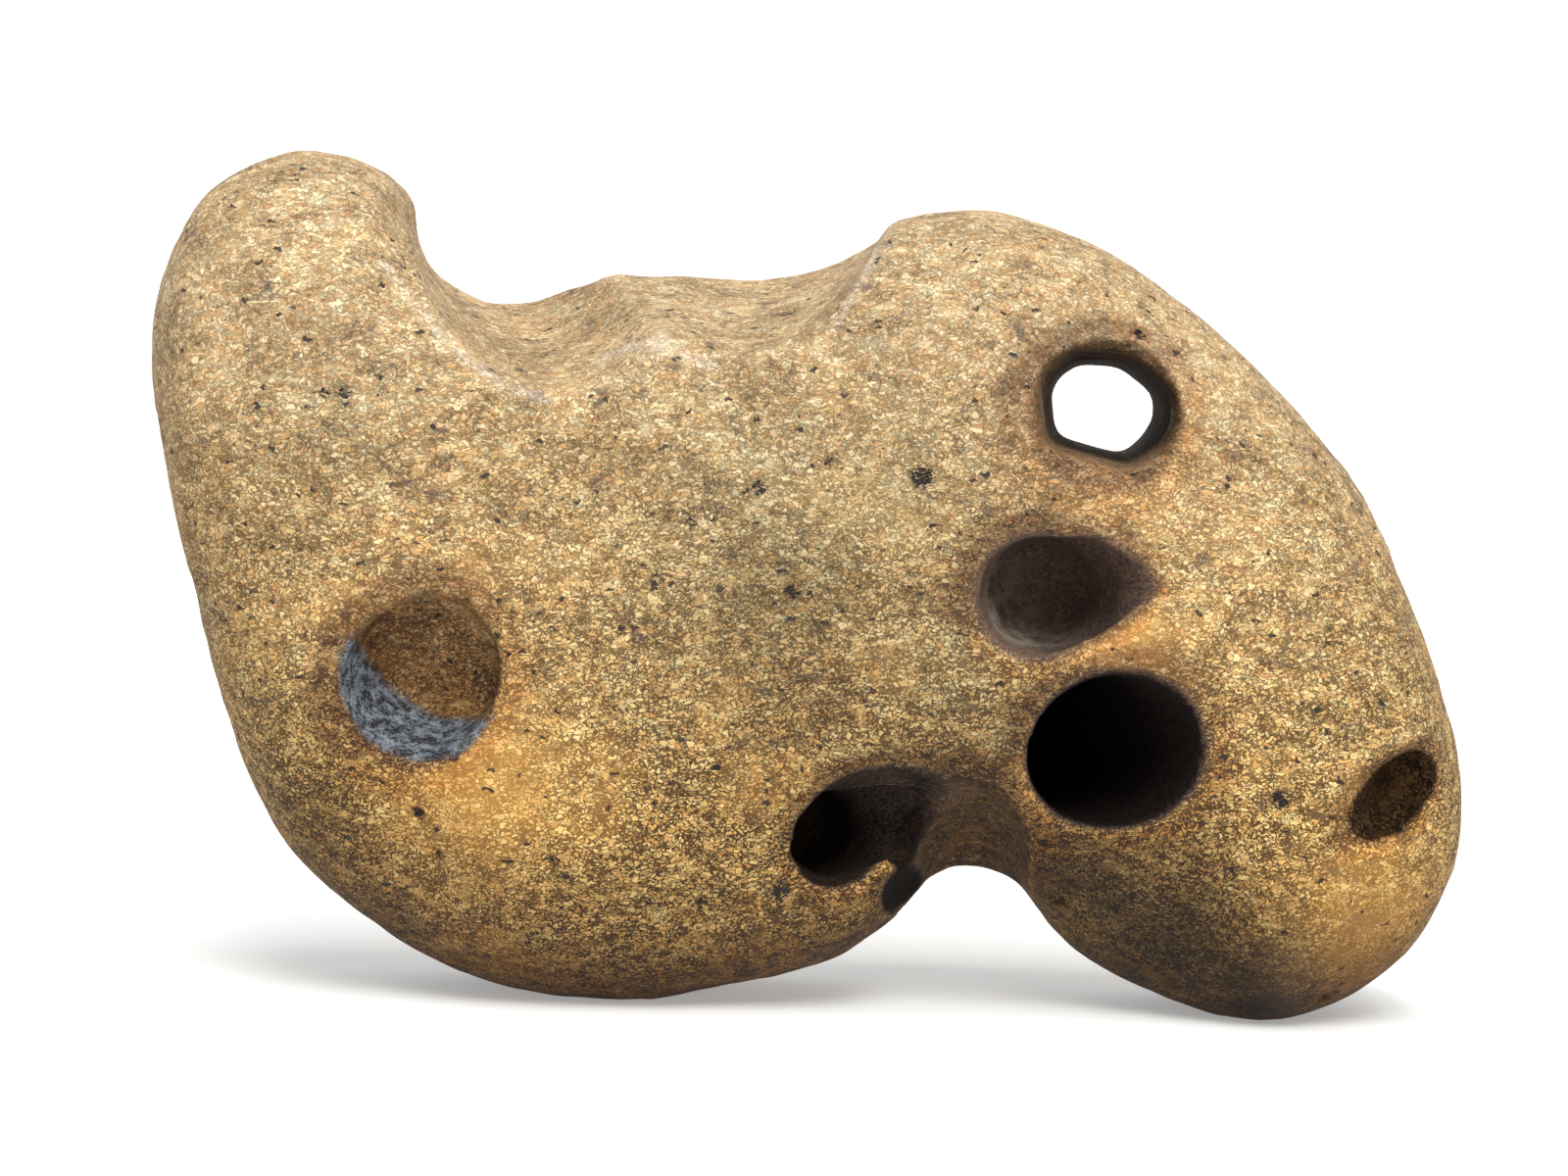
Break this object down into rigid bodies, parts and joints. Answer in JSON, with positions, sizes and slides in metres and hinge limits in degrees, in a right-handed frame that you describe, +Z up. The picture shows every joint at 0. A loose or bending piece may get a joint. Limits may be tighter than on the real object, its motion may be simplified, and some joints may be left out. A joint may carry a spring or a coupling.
{
  "type": "hag stone",
  "caption": "Sea-worn sandstone pebble with a hole bored right through it by shellfish, blind burrows in its front and a dip worn in its top edge; it stands on its lower lobes.",
  "frame": {"origin": "on the ground, under the middle of the stone's box", "axes": "+X along the stone, to the right when its front is looked at; +Z up; the front looks along -Y"},
  "size_m": [0.1318, 0.0509, 0.084],
  "materials": {
    "sandstone": "sea-worn, matt and grainy"
  },
  "bodies": {
    "root": {"stone": "sandstone"}
  },
  "joints": []
}
